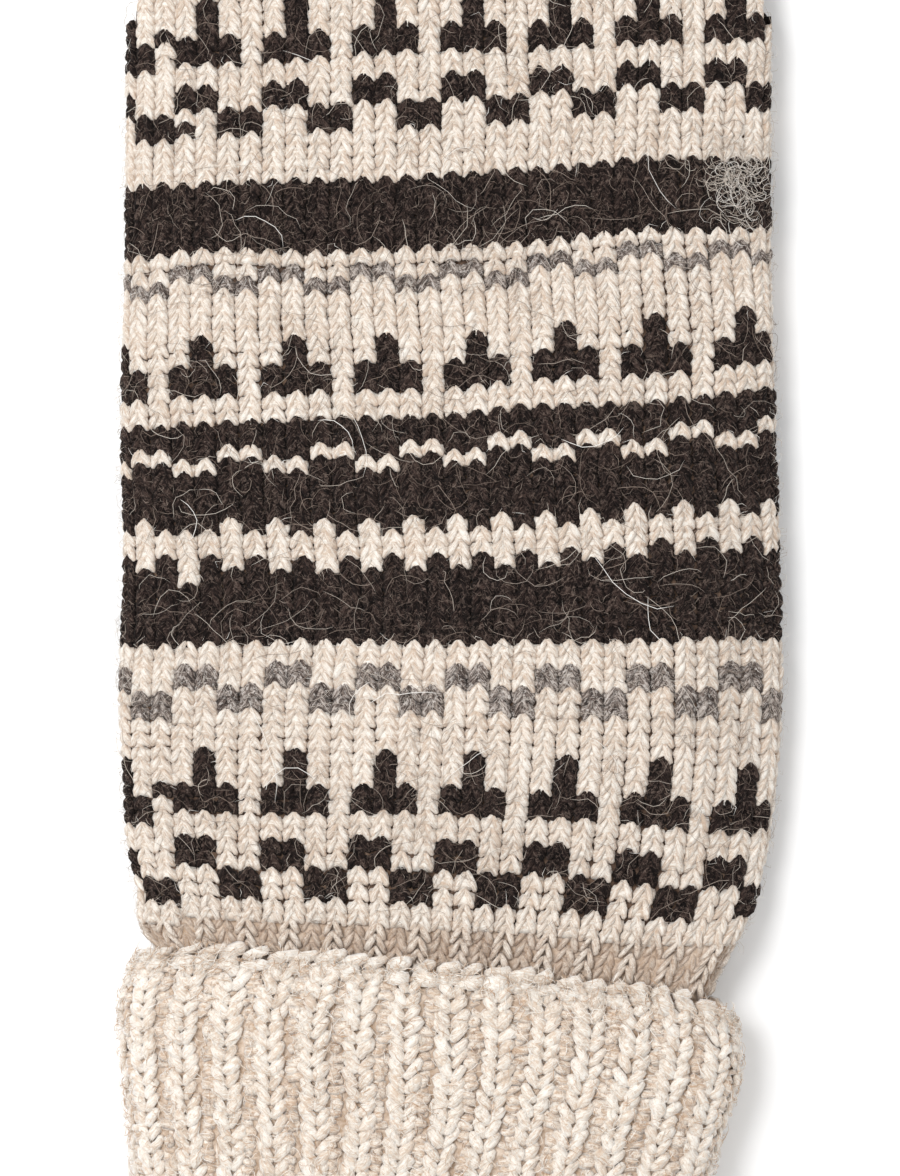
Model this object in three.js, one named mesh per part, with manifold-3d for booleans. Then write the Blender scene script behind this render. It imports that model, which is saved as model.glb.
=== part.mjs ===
// Hand-knitted mitten for an adult's left hand, lying palm down with its ribbed cuff turned up.
// Millimetres, +Z up. The fingers point to +Y, and the thumb lies folded under the palm.
// Every piece is worked out on a straight centre line along Y, then set on the mitten's bent one.

import * as THREE from "three";
import { mergeVertices } from "three/addons/utils/BufferGeometryUtils.js";
import Module from "manifold-3d";

// Lengths along the centre line
const ribLength = 61.5; // fold of the cuff to the start of the hand
const handLength = 184; // start of the hand to the finger tip
const turnUpDepth = 50.7; // fold to the cast-off edge
const edgeHeight = 3.7; // cast-off edge
const tipLength = 38.5; // stretch over which the finger end rounds off

// Widths and depths, lying flat
const handWidth = 109;
const cuffWidth = 102.4;
const hollowDepth = 7.8; // room between the palm's wall and the back's

// Knitted walls, and the gaps between them
const handWall = 2.8;
const ribWall = 2.8;
const thumbWall = 2.8;
const layerGap = 0.3; // between the turned-up layer and the one it covers
const seamGap = 0.3; // between pieces that are knitted on to each other

// Thumb
const thumbLength = 61;
const thumbWidth = 36;
const thumbHollow = 5;
const thumbInset = 33; // its middle, from the side of the hand
const slitStart = 10.5; // lower edge of its slit, from the start of the hand
const slitRise = 12; // stretch over which the palm climbs on to it
const palmSpread = 14; // how far beside the thumb the palm comes back down
const backSpread = 34; // and the back
const backSettle = 3.2; // how much less the back is lifted than the palm
const thumbTipLength = 17;

// Ribs and cast-off stitches
const ribCount = 30;
const ribGroove = 0.9;
const innerRibGroove = 0.6;
const edgeBulge = 0.45;
const edgeDroop = 3; // how far the turned-up edge dips where it goes round the sides

// Bend of the centre line at the wrist
const cuffLean = THREE.MathUtils.degToRad(5.5);
const leanBefore = 6.5; // stretch of the bend on the cuff's side of the wrist
const leanAfter = 36.5; // and on the hand's side

// Points round a tube, and stations along it
const handSides = 48;
const thumbSides = 24;
const handStations = 12;
const tipStations = 6;
const thumbStations = 4;
const pointsPerRib = 4;
const turnedStations = [0.08, 0.3, 0.55, 0.78, 0.92, 1]; // shares of the turned-up depth
const slotStations = [0.5, 1];
const coveredStations = [0.5]; // shares of the ribbing's length, under the turned-up layer
const wristStations = [0.84, 0.9, 1]; // and above it
const hollowStations = [0.08, 0.5, 0.84, 1];

// Half widths of the hand from its centre line, as shares of handWidth
const handOutline = [
  { along: 0.04, left: 0.482, right: 0.479 },
  { along: 0.1, left: 0.495, right: 0.495 },
  { along: 0.2, left: 0.505, right: 0.507 },
  { along: 0.32, left: 0.498, right: 0.504 },
  { along: 0.45, left: 0.502, right: 0.497 },
  { along: 0.62, left: 0.495, right: 0.49 },
  { along: 1, left: 0.492, right: 0.492 },
];

// Half widths of the turned-up layer's outside, as shares of cuffWidth
const turnedOutline = [
  { along: 0, half: 0.432 },
  { along: 0.16, half: 0.448 },
  { along: 0.32, half: 0.463 },
  { along: 0.5, half: 0.483 },
  { along: 0.71, half: 0.504 },
  { along: 0.8, half: 0.499 },
  { along: 0.9, half: 0.48 },
  { along: 1, half: 0.474 },
];

// Half widths of the layer beneath it, which widens to the hand above the turned-up edge
const innerOutline = [
  { along: 0, left: 0.401, right: 0.401 },
  { along: 0.32, left: 0.43, right: 0.43 },
  { along: 0.5, left: 0.447, right: 0.443 },
  { along: 0.7, left: 0.455, right: 0.45 },
  { along: 0.84, left: 0.455, right: 0.448 },
  { along: 0.9, left: 0.482, right: 0.453 },
  { along: 1, left: 0.492, right: 0.481 },
];

const handDepth = 2 * handWall + hollowDepth;
const thumbDepth = 2 * thumbWall + thumbHollow;
const cuffDepth = 4 * ribWall + 2 * layerGap + hollowDepth;
const wristLift = 2 * ribWall + layerGap - handWall;
const thumbLift = thumbDepth + seamGap;
const thumbMiddle = handWidth / 2 - thumbInset;
const slitAt = ribLength + slitStart;
const thumbEnd = slitAt + thumbLength;
const fingerTip = ribLength + handLength;

const { clamp, lerp, smoothstep } = THREE.MathUtils;
const wasm = await Module();
wasm.setup();

// A column of a table at a share of the way along, with a smooth curve through its rows.
function readTable(rows, column, along) {
  const last = rows.length - 1;
  let i = 0;
  while (i < last - 1 && along > rows[i + 1].along) i += 1;
  const a = rows[i];
  const b = rows[i + 1];
  const before = rows[Math.max(i - 1, 0)];
  const after = rows[Math.min(i + 2, last)];
  const step = b.along - a.along;
  const t = clamp((along - a.along) / step, 0, 1);
  const slopeA = ((b[column] - before[column]) / (b.along - before.along)) * step;
  const slopeB = ((after[column] - a[column]) / (after.along - a.along)) * step;
  const rise = b[column] - a[column];
  return a[column] + t * (slopeA + t * (3 * rise - 2 * slopeA - slopeB + t * (slopeA + slopeB - 2 * rise)));
}

// Outline of a flattened tube, flat beneath: x from -1 to 1, and height from 0 to 1.
// The points are spaced evenly, on an outline squeezed sideways where the edges need more of them.
function flatRing(sides, halfWidth, depth, squeeze) {
  const fine = 720;
  const roundness = 2 / 3;
  const floorCut = 0.93;
  const outline = [];
  for (let i = 0; i <= fine; i += 1) {
    const angle = (i / fine) * 2 * Math.PI;
    const c = Math.cos(angle);
    const s = Math.sin(angle);
    outline.push({
      x: Math.sign(c) * Math.abs(c) ** roundness,
      height: (Math.max(Math.sign(s) * Math.abs(s) ** roundness, -floorCut) + floorCut) / (1 + floorCut),
      angle,
    });
  }
  const reach = [0];
  for (let i = 1; i <= fine; i += 1) {
    const dx = (outline[i].x - outline[i - 1].x) * halfWidth * squeeze;
    const dz = (outline[i].height - outline[i - 1].height) * depth;
    reach.push(reach[i - 1] + Math.hypot(dx, dz));
  }
  const ring = [];
  let at = 0;
  for (let k = 0; k < sides; k += 1) {
    const wanted = (k / sides) * reach[fine];
    while (reach[at + 1] < wanted) at += 1;
    const t = (wanted - reach[at]) / (reach[at + 1] - reach[at]);
    ring.push({
      x: lerp(outline[at].x, outline[at + 1].x, t),
      height: lerp(outline[at].height, outline[at + 1].height, t),
      out: lerp(outline[at].angle, outline[at + 1].angle, t),
    });
  }
  return ring;
}

const sameAll = (ring, point) => ring.map(() => point);

// A closed skin through rings of points. A ring whose points are all one is a pole.
// With loop set, the last ring joins the first, and the skin is a ring-shaped wall.
function skin(rings, loop = false) {
  const sides = rings[0].length;
  const positions = rings.flat().flat();
  const index = [];
  const spans = loop ? rings.length : rings.length - 1;
  for (let r = 0; r < spans; r += 1) {
    const next = (r + 1) % rings.length;
    for (let k = 0; k < sides; k += 1) {
      const k2 = (k + 1) % sides;
      const a = r * sides + k;
      const b = r * sides + k2;
      const c = next * sides + k2;
      const d = next * sides + k;
      if (rings[r][k] !== rings[r][k2]) index.push(a, b, c);
      if (rings[next][k] !== rings[next][k2]) index.push(a, c, d);
    }
  }
  const geometry = new THREE.BufferGeometry();
  geometry.setAttribute("position", new THREE.Float32BufferAttribute(positions, 3));
  geometry.setIndex(index);
  return mergeVertices(geometry, 1e-4);
}

function solid(geometry) {
  const bare = geometry.clone();
  bare.deleteAttribute("normal");
  bare.deleteAttribute("uv");
  const merged = mergeVertices(bare, 1e-4);
  const mesh = { numProp: 3, vertProperties: merged.attributes.position.array };
  mesh.triVerts = new Uint32Array(merged.index.array);
  return new wasm.Manifold(new wasm.Mesh(mesh));
}

function geometryOf(body) {
  const mesh = body.getMesh();
  const geometry = new THREE.BufferGeometry();
  geometry.setAttribute("position", new THREE.BufferAttribute(mesh.vertProperties, 3));
  geometry.setIndex(new THREE.BufferAttribute(mesh.triVerts, 1));
  return geometry;
}

// The centre line: straight and leaning along the cuff, an arc at the wrist, straight along the hand.
function centreLine(s) {
  const arcStart = ribLength - leanBefore;
  const arcEnd = ribLength + leanAfter;
  const radius = (arcEnd - arcStart) / cuffLean;
  const lean = clamp((arcEnd - s) / radius, 0, cuffLean);
  const before = Math.max(arcStart - s, 0);
  const beyond = Math.max(s - arcEnd, 0);
  return {
    lean,
    x: -radius * (1 - Math.cos(lean)) - before * Math.sin(lean),
    y: arcEnd - radius * Math.sin(lean) - before * Math.cos(lean) + beyond,
  };
}

function setOnCentreLine(geometry) {
  const at = geometry.attributes.position;
  for (let i = 0; i < at.count; i += 1) {
    const line = centreLine(at.getY(i));
    const across = at.getX(i);
    at.setX(i, line.x + across * Math.cos(line.lean));
    at.setY(i, line.y - across * Math.sin(line.lean));
  }
  geometry.computeVertexNormals();
  return geometry;
}

// How much the palm and the back are lifted at a place by the cuff's layers and by the thumb
function handLift(x, s, height) {
  const flat = thumbWidth / 2 + 4;
  const side = handWidth / 2;
  const palmAcross = smoothstep(x, thumbMiddle - flat - palmSpread, thumbMiddle - flat)
    * (1 - smoothstep(x, thumbMiddle + flat, side));
  const palmAlong = clamp((s - slitAt) / slitRise, 0, 1)
    * (1 - smoothstep(s, thumbEnd, thumbEnd + 1.5 * palmSpread));
  const backAcross = smoothstep(x, thumbMiddle - flat - backSpread, thumbMiddle - flat / 2)
    * (1 - smoothstep(x, thumbMiddle + 0.7 * flat, side));
  const backAlong = smoothstep(s, ribLength, slitAt + 1.7 * slitRise)
    * (1 - smoothstep(s, thumbEnd - 0.5 * palmSpread, thumbEnd + backSpread));
  const palm = thumbLift * palmAcross * palmAlong;
  const back = (thumbLift - backSettle) * backAcross * backAlong;
  const toBack = smoothstep(height / handDepth, 0.35, 0.65);
  return lerp(palm, back, toBack) + wristLift * (1 - smoothstep(s, ribLength, slitAt));
}

// Half width of the hand on one side. The first row is the end of the cuff's inner layer.
function handHalf(side, s) {
  const wrist = { along: 0, [side]: (innerOutline.at(-1)[side] * cuffWidth) / handWidth };
  return handWidth * readTable([wrist, ...handOutline], side, (s - ribLength) / handLength);
}

// One ring of the hand's skin, inset by a wall's thickness
function handRing(ring, s, inset) {
  const roundFrom = fingerTip - tipLength;
  const u = clamp((s - roundFrom) / (tipLength - inset), 0, 1);
  const narrow = (1 - u ** 2.2) ** (1 / 2.2);
  const thin = Math.sqrt(1 - u ** 4);
  const depth = (handDepth - 2 * inset) * thin;
  const bottom = inset + 0.35 * (handDepth - 2 * inset - depth);
  const left = (handHalf("left", s) - inset) * narrow;
  const right = (handHalf("right", s) - inset) * narrow;
  if (u === 1) return sameAll(ring, [0, s, bottom]);
  return ring.map((p) => {
    const x = p.x * (p.x < 0 ? left : right);
    const z = bottom + p.height * depth;
    return [x, s, z + handLift(x, s, z)];
  });
}

function stationsTo(end, inset) {
  const roundFrom = end - tipLength;
  const list = [ribLength, slitAt, slitAt + slitRise / 2, slitAt + slitRise];
  const span = (roundFrom - slitAt - slitRise) / handStations;
  for (let i = 1; i <= handStations; i += 1) list.push(slitAt + slitRise + i * span);
  for (let i = 1; i <= tipStations; i += 1) {
    list.push(roundFrom + (tipLength - inset) * Math.sin((i / tipStations) * (Math.PI / 2)));
  }
  list.push(lerp(ribLength, slitAt, 0.5));
  return list.sort((a, b) => a - b);
}

function handShell() {
  const ring = flatRing(handSides, handWidth / 2, handDepth, 0.6);
  const outer = stationsTo(fingerTip, 0).map((s) => handRing(ring, s, 0));
  const inner = stationsTo(fingerTip, handWall).map((s) => handRing(ring, s, handWall));
  return skin([...outer.reverse(), ...inner]);
}

// One ring of the thumb's skin, inset by its wall, or grown where the inset is negative
function thumbRing(ring, s, inset) {
  const reach = thumbTipLength - inset;
  const u = clamp((s - thumbEnd + thumbTipLength) / reach, 0, 1);
  const narrow = (1 - u ** 2.2) ** (1 / 2.2);
  const depth = (thumbDepth - 2 * inset) * Math.sqrt(1 - u ** 4);
  const bottom = inset + 0.35 * (thumbDepth - 2 * inset - depth);
  const half = (thumbWidth / 2 - inset) * narrow;
  if (u === 1) return sameAll(ring, [thumbMiddle, s, bottom]);
  return ring.map((p) => [thumbMiddle + p.x * half, s, bottom + p.height * depth]);
}

function thumbRings(from, inset) {
  const ring = flatRing(thumbSides, thumbWidth / 2, thumbDepth, 0.8);
  const roundFrom = thumbEnd - thumbTipLength;
  const list = [from];
  for (let i = 1; i <= thumbStations; i += 1) list.push(lerp(from, roundFrom, i / thumbStations));
  for (let i = 1; i <= tipStations; i += 1) {
    list.push(roundFrom + (thumbTipLength - inset) * Math.sin((i / tipStations) * (Math.PI / 2)));
  }
  return list.map((s) => thumbRing(ring, s, inset));
}

// The room that the thumb needs through the palm, which is the slit it is knitted from
function thumbRoom() {
  const rings = thumbRings(slitAt, -seamGap);
  const cap = sameAll(rings[0], [thumbMiddle, slitAt, thumbDepth / 2]);
  return skin([...rings.reverse(), cap]);
}

// A wedge that trims the thumb's mouth to the slope of the palm's inside
function mouthTrim() {
  const slope = thumbLift / slitRise;
  const back = slitAt - slitRise;
  const front = slitAt + 1.5 * slitRise;
  const lineAt = (s) => handWall + slope * (s - slitAt);
  const side = new THREE.Shape([
    new THREE.Vector2(back, lineAt(back)),
    new THREE.Vector2(front, lineAt(front)),
    new THREE.Vector2(back, lineAt(front)),
  ]);
  const wedge = new THREE.ExtrudeGeometry(side, { depth: 2 * thumbWidth, bevelEnabled: false });
  wedge.translate(0, 0, thumbMiddle - thumbWidth);
  return wedge.applyMatrix4(new THREE.Matrix4().set(0, 0, 1, 0, 1, 0, 0, 0, 0, 1, 0, 0, 0, 0, 0, 1));
}

function thumbShell() {
  const start = slitAt + seamGap;
  const outer = thumbRings(start, 0);
  const inner = thumbRings(start, thumbWall);
  return skin([...outer.reverse(), ...inner]);
}

// Half widths of the cuff's two layers, on their outer faces
const turnedHalf = (s) => cuffWidth * readTable(turnedOutline, "half", s / ribLength);

function innerHalf(side, s) {
  const free = cuffWidth * readTable(innerOutline, side, s / ribLength);
  const covered = s < turnUpDepth + edgeHeight - edgeDroop;
  return covered ? Math.min(free, turnedHalf(s) - ribWall - layerGap) : free;
}

// One ring of a cuff layer: its half widths, its depth, and how deep its ribs are cut
function cuffRing(ring, s, left, right, depth, groove, droop) {
  const bottom = (cuffDepth - depth) / 2;
  return ring.map((p, k) => {
    const cut = (groove * (1 - Math.cos((2 * Math.PI * k) / pointsPerRib))) / 2;
    const x = p.x * (p.x < 0 ? left : right) - cut * Math.cos(p.out);
    const z = bottom + p.height * depth - cut * Math.sin(p.out);
    return [x, s - droop * Math.abs(p.x) ** 6, z];
  });
}

// The ribs are spaced evenly round the cuff's outline, four points to a rib.
const cuffSides = ribCount * pointsPerRib;
const cuffOutline = flatRing(cuffSides, cuffWidth / 2, cuffDepth, 1);

// A ring on the turned-up layer, inset from its outer face
function turnedRing(s, inset, groove) {
  const half = turnedHalf(s) - inset;
  const droop = (edgeDroop * s) / turnUpDepth;
  return cuffRing(cuffOutline, s, half, half, cuffDepth - 2 * inset, groove, droop);
}

// A ring on the layer beneath, inset from its outer face
function innerRing(s, inset, groove) {
  const left = innerHalf("left", s) - inset;
  const right = innerHalf("right", s) - inset;
  const depth = cuffDepth - 2 * (ribWall + layerGap + inset);
  return cuffRing(cuffOutline, s, left, right, depth, groove, 0);
}

// The cuff's wall goes up outside as the turned-up layer, and inside as the wrist's ribbing.
function cuffWall() {
  const top = ribLength - seamGap;
  const foldMiddle = ribWall + layerGap / 2;
  const outside = turnedStations.map((t) => turnedRing(t * turnUpDepth, 0, ribGroove));
  const slotOutside = slotStations.map((t) => turnedRing(t * turnUpDepth, ribWall, 0));
  const slotFoot = [innerRing(foldMiddle, 0, 0), turnedRing(foldMiddle, ribWall, 0)];
  const covered = coveredStations.map((t) => innerRing(t * top, 0, 0));
  const wrist = wristStations.map((t) => innerRing(t * top, 0, innerRibGroove));
  const hollow = hollowStations.map((t) => innerRing(t * top, ribWall, 0));
  const foldFoot = turnedRing(0, foldMiddle, 0);
  const foldSide = turnedRing(0.25 * foldMiddle, 0.35 * foldMiddle, ribGroove / 2);
  const insideUp = [foldSide, foldFoot, ...hollow];
  const outsideUp = [...slotFoot, ...slotOutside, ...outside.reverse()];
  return skin([...insideUp, ...wrist.reverse(), ...covered.reverse(), ...outsideUp], true);
}

// The cast-off edge, a row of bumps on top of the turned-up layer
function edgeRing() {
  const foot = turnUpDepth + seamGap;
  const rows = [
    { up: 0, inset: 0 },
    { up: 0.45, inset: -edgeBulge },
    { up: 0.85, inset: -0.6 * edgeBulge },
    { up: 1, inset: 0.35 * ribWall },
    { up: 0.9, inset: 0.95 * ribWall },
    { up: 0, inset: ribWall },
  ];
  const rings = rows.map((row) => {
    const s = foot + row.up * edgeHeight;
    return turnedRing(s, row.inset, 0).map(([x, y, z], k) => {
      const bump = row.inset < 0 && k % 2 === 1 ? edgeBulge : 0;
      return [x * (1 - bump / turnedHalf(s)), y, Math.max(z + (z > cuffDepth / 2 ? -bump : bump), 0)];
    });
  });
  return skin(rings.reverse(), true);
}

function piece(name, geometry, colour, roughness) {
  const material = new THREE.MeshStandardMaterial({ color: colour, roughness, metalness: 0 });
  const mesh = new THREE.Mesh(setOnCentreLine(geometry), material);
  mesh.name = name;
  return mesh;
}

const hand = solid(handShell()).subtract(solid(thumbRoom()));
const thumb = solid(thumbShell()).subtract(solid(mouthTrim()));

const mitten = new THREE.Group();
mitten.add(
  piece("hand", geometryOf(hand), 0xb9aa98, 0.95),
  piece("thumb", geometryOf(thumb), 0xd8cab8, 0.95),
  piece("cuff", cuffWall(), 0xdfd3c5, 0.97),
  piece("cuff_edge", edgeRing(), 0xe6dccf, 0.97),
);

// The origin is the middle of the underside.
const box = new THREE.Box3().setFromObject(mitten);
const middle = box.getCenter(new THREE.Vector3());
mitten.children.forEach((mesh) => mesh.position.set(-middle.x, -middle.y, -box.min.z));

export default mitten;
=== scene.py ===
import math

import bpy
import numpy as np
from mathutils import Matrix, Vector


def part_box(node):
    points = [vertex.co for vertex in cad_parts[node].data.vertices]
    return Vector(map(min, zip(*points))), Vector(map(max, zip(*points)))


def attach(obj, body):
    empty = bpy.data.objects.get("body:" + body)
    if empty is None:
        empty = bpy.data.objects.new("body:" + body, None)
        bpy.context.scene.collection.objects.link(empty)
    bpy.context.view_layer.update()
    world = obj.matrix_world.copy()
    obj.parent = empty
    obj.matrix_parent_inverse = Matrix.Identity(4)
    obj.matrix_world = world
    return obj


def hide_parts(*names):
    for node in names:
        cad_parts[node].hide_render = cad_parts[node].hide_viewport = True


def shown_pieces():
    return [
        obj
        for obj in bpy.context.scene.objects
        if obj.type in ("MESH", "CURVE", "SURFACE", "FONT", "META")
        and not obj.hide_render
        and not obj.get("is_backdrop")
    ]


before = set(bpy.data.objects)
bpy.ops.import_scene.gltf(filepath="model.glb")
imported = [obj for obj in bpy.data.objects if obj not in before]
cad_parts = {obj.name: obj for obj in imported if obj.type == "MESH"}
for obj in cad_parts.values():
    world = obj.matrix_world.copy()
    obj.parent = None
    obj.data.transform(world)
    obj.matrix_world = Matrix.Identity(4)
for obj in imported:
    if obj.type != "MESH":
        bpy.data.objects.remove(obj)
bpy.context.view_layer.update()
mm = 0.001  # shapes are worked out in millimetres and made in metres
dice = np.random.default_rng(11)


# Camera, light and floor

view = {
    "height": 194.0,  # what the picture shows from top to bottom, in mm, level with the knitting
    "middle": (-0.1, -4.6, 12.0),
    "lens": 200.0,
    "sensor": 36.0,
    "clip": (0.05, 20.0),
}
light = {
    "world": 0.86,
    "keyPower": 7.5,
    "keyPlace": (-0.42, 0.22, 0.95),
    "keySize": 0.5,
}
paper = {"size": 3.0, "colour": (0.93, 0.93, 0.93, 1), "roughness": 0.9}


def aimAt(thing, target):
    thing.rotation_mode = "QUATERNION"
    thing.rotation_quaternion = (Vector(target) - thing.location).to_track_quat("-Z", "Y")


def makeCamera():
    camera = bpy.data.objects.new("camera", bpy.data.cameras.new("camera"))
    bpy.context.scene.collection.objects.link(camera)
    camera.data.lens = view["lens"]
    camera.data.sensor_width = view["sensor"]
    away = view["height"] * view["lens"] / view["sensor"]
    x, y, z = view["middle"]
    camera.location = (x * mm, y * mm, (z + away) * mm)
    camera.data.clip_start, camera.data.clip_end = view["clip"]
    bpy.context.scene.camera = camera


def makeLight():
    scene = bpy.context.scene
    scene.view_settings.view_transform = "Standard"
    scene.view_settings.look = "None"
    world = bpy.data.worlds.new("studio")
    world.use_nodes = True
    world.node_tree.nodes["Background"].inputs["Color"].default_value = (1, 1, 1, 1)
    world.node_tree.nodes["Background"].inputs["Strength"].default_value = light["world"]
    scene.world = world
    lamp = bpy.data.lights.new("window light", "AREA")
    lamp.shape = "DISK"
    lamp.size = light["keySize"]
    lamp.energy = light["keyPower"]
    key = bpy.data.objects.new("window light", lamp)
    scene.collection.objects.link(key)
    key.location = light["keyPlace"]
    aimAt(key, (0, 0, 0))


def makeFloor():
    bpy.ops.object.select_all(action="DESELECT")
    bpy.ops.mesh.primitive_plane_add(size=paper["size"], location=(0, 0, 0))
    floor = bpy.context.object
    floor.name = "floor"
    material = bpy.data.materials.new("white paper")
    material.use_nodes = True
    shader = material.node_tree.nodes["Principled BSDF"]
    shader.inputs["Base Color"].default_value = paper["colour"]
    shader.inputs["Roughness"].default_value = paper["roughness"]
    floor.data.materials.append(material)
    floor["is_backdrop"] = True


makeCamera()
makeLight()
makeFloor()
print("camera, light and floor")


# The mitten's shape: the same outlines and lifts as the solids, in millimetres

mitten = {
    "ribLength": 61.5,  # fold of the cuff to the start of the hand
    "handLength": 184.0,
    "turnUp": 50.7,  # fold to the cast-off edge
    "edgeHeight": 3.7,
    "tipLength": 38.5,
    "handWidth": 109.0,
    "cuffWidth": 102.4,
    "hollow": 7.8,
    "wall": 2.8,
    "gap": 0.3,
    "edgeDroop": 3.0,
    "lean": math.radians(5.5),
    "leanBefore": 6.5,
    "leanAfter": 36.5,
    "floorCut": 0.93,
    "roundness": 2 / 3,  # of a flattened tube's outline
    "tipPower": 2.2,  # of the outline of a rounded end
    "tipSettle": 0.35,  # how much of what an end gets thinner is lost beneath
    "outlinePoints": 2881,
}
thumb = {
    "length": 61.0,
    "width": 36.0,
    "hollow": 5.0,
    "inset": 33.0,
    "slitStart": 10.5,
    "slitRise": 12.0,
    "palmSpread": 14.0,
    "backSpread": 34.0,
    "backSettle": 3.2,
    "tipLength": 17.0,
    "bumpMargin": 4.0,
    "sideShown": 3.5,  # the palm's stitches go on this far behind its sides and its end
    "endShown": 2.0,
}
handOutline = {
    "along": (0, 0.04, 0.1, 0.2, 0.32, 0.45, 0.62, 1),
    "left": (0.4622, 0.482, 0.495, 0.505, 0.498, 0.502, 0.495, 0.492),
    "right": (0.4519, 0.479, 0.495, 0.507, 0.504, 0.497, 0.49, 0.492),
}
turnedOutline = {
    "along": (0, 0.16, 0.32, 0.5, 0.71, 0.8, 0.9, 1),
    "half": (0.432, 0.448, 0.463, 0.483, 0.504, 0.499, 0.48, 0.474),
}
innerOutline = {
    "along": (0, 0.32, 0.5, 0.7, 0.84, 0.9, 1),
    "left": (0.401, 0.43, 0.447, 0.455, 0.455, 0.482, 0.492),
    "right": (0.401, 0.43, 0.443, 0.45, 0.448, 0.453, 0.481),
}

handDepth = 2 * mitten["wall"] + mitten["hollow"]
cuffDepth = 4 * mitten["wall"] + 2 * mitten["gap"] + mitten["hollow"]
thumbDepth = 2 * mitten["wall"] + thumb["hollow"]
wristLift = mitten["wall"] + mitten["gap"]
thumbLift = thumbDepth + mitten["gap"]
thumbMiddle = mitten["handWidth"] / 2 - thumb["inset"]
slitAt = mitten["ribLength"] + thumb["slitStart"]
thumbEnd = slitAt + thumb["length"]
fingerTip = mitten["ribLength"] + mitten["handLength"]
roundFrom = fingerTip - mitten["tipLength"]


def smooth(value, low, high):
    t = np.clip((value - low) / (high - low), 0, 1)
    return t * t * (3 - 2 * t)


def mix(a, b, t):
    return a + (b - a) * t


def readTable(table, column, along):
    at, value = np.array(table["along"]), np.array(table[column])
    before = np.concatenate((at[:1], at[:-1]))
    after = np.concatenate((at[1:], at[-1:]))
    valueBefore = np.concatenate((value[:1], value[:-1]))
    valueAfter = np.concatenate((value[1:], value[-1:]))
    slope = (valueAfter - valueBefore) / (after - before)
    along = np.clip(along, at[0], at[-1])
    i = np.clip(np.searchsorted(at, along, side="right") - 1, 0, len(at) - 2)
    step = at[i + 1] - at[i]
    t = (along - at[i]) / step
    a, b = slope[i] * step, slope[i + 1] * step
    rise = value[i + 1] - value[i]
    return value[i] + t * (a + t * (3 * rise - 2 * a - b + t * (a + b - 2 * rise)))


def centreLine(s):
    arcStart = mitten["ribLength"] - mitten["leanBefore"]
    arcEnd = mitten["ribLength"] + mitten["leanAfter"]
    radius = (arcEnd - arcStart) / mitten["lean"]
    lean = np.clip((arcEnd - s) / radius, 0, mitten["lean"])
    before = np.maximum(arcStart - s, 0)
    beyond = np.maximum(s - arcEnd, 0)
    x = -radius * (1 - np.cos(lean)) - before * np.sin(lean)
    y = arcEnd - radius * np.sin(lean) - before * np.cos(lean) + beyond
    return lean, x, y


def onCentreLine(x, s, z):
    lean, lineX, lineY = centreLine(s)
    return np.stack((lineX + x * np.cos(lean), lineY - x * np.sin(lean), z), axis=-1)


# A flattened tube's outline, by the distance round it from its +X side, going over the top
def makeOutline(halfWidth, depth):
    angle = np.linspace(0, 2 * np.pi, mitten["outlinePoints"])
    x = np.sign(np.cos(angle)) * np.abs(np.cos(angle)) ** mitten["roundness"]
    y = np.sign(np.sin(angle)) * np.abs(np.sin(angle)) ** mitten["roundness"]
    y[0] = y[-1] = 0
    height = outlineHeight(y)
    steps = np.hypot(np.diff(x) * halfWidth, np.diff(height) * depth)
    reach = np.concatenate(([0], np.cumsum(steps)))
    return {"reach": reach, "x": x, "y": y, "round": reach[-1]}


def outlineHeight(y):
    cut = mitten["floorCut"]
    return (np.maximum(y, -cut) + cut) / (1 + cut)


def readOutline(outline, arc):
    arc = np.mod(arc, outline["round"])
    x = np.interp(arc, outline["reach"], outline["x"])
    y = np.interp(arc, outline["reach"], outline["y"])
    return x, y


handRound = makeOutline(mitten["handWidth"] / 2, handDepth)
cuffRound = makeOutline(mitten["cuffWidth"] / 2, cuffDepth)
thumbRound = makeOutline(thumb["width"] / 2, thumbDepth)


def handLift(x, s, height):
    flat = thumb["width"] / 2 + thumb["bumpMargin"]
    side = mitten["handWidth"] / 2
    palmAcross = smooth(x, thumbMiddle - flat - thumb["palmSpread"], thumbMiddle - flat)
    palmAcross = palmAcross * (1 - smooth(x, thumbMiddle + flat, side))
    palmAlong = np.clip((s - slitAt) / thumb["slitRise"], 0, 1)
    palmAlong = palmAlong * (1 - smooth(s, thumbEnd, thumbEnd + 1.5 * thumb["palmSpread"]))
    backAcross = smooth(x, thumbMiddle - flat - thumb["backSpread"], thumbMiddle - flat / 2)
    backAcross = backAcross * (1 - smooth(x, thumbMiddle + 0.7 * flat, side))
    backAlong = smooth(s, mitten["ribLength"], slitAt + 1.7 * thumb["slitRise"])
    backEnd = 1 - smooth(s, thumbEnd - 0.5 * thumb["palmSpread"], thumbEnd + thumb["backSpread"])
    palm = thumbLift * palmAcross * palmAlong
    back = (thumbLift - thumb["backSettle"]) * backAcross * backAlong * backEnd
    toBack = smooth(height / handDepth, 0.35, 0.65)
    wrist = wristLift * (1 - smooth(s, mitten["ribLength"], slitAt))
    return mix(palm, back, toBack) + wrist


# How wide and how deep a rounded end still is, from 1 down to 0
def tipShares(s, tipLength, start, inset):
    u = np.clip((s - start) / (tipLength - inset), 0, 1)
    power = mitten["tipPower"]
    return (1 - u**power) ** (1 / power), np.sqrt(1 - u**4)


def heightInTip(y, fullDepth, thin, inset):
    depth = (fullDepth - 2 * inset) * thin
    return inset + mitten["tipSettle"] * (fullDepth - 2 * inset - depth) + outlineHeight(y) * depth


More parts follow.
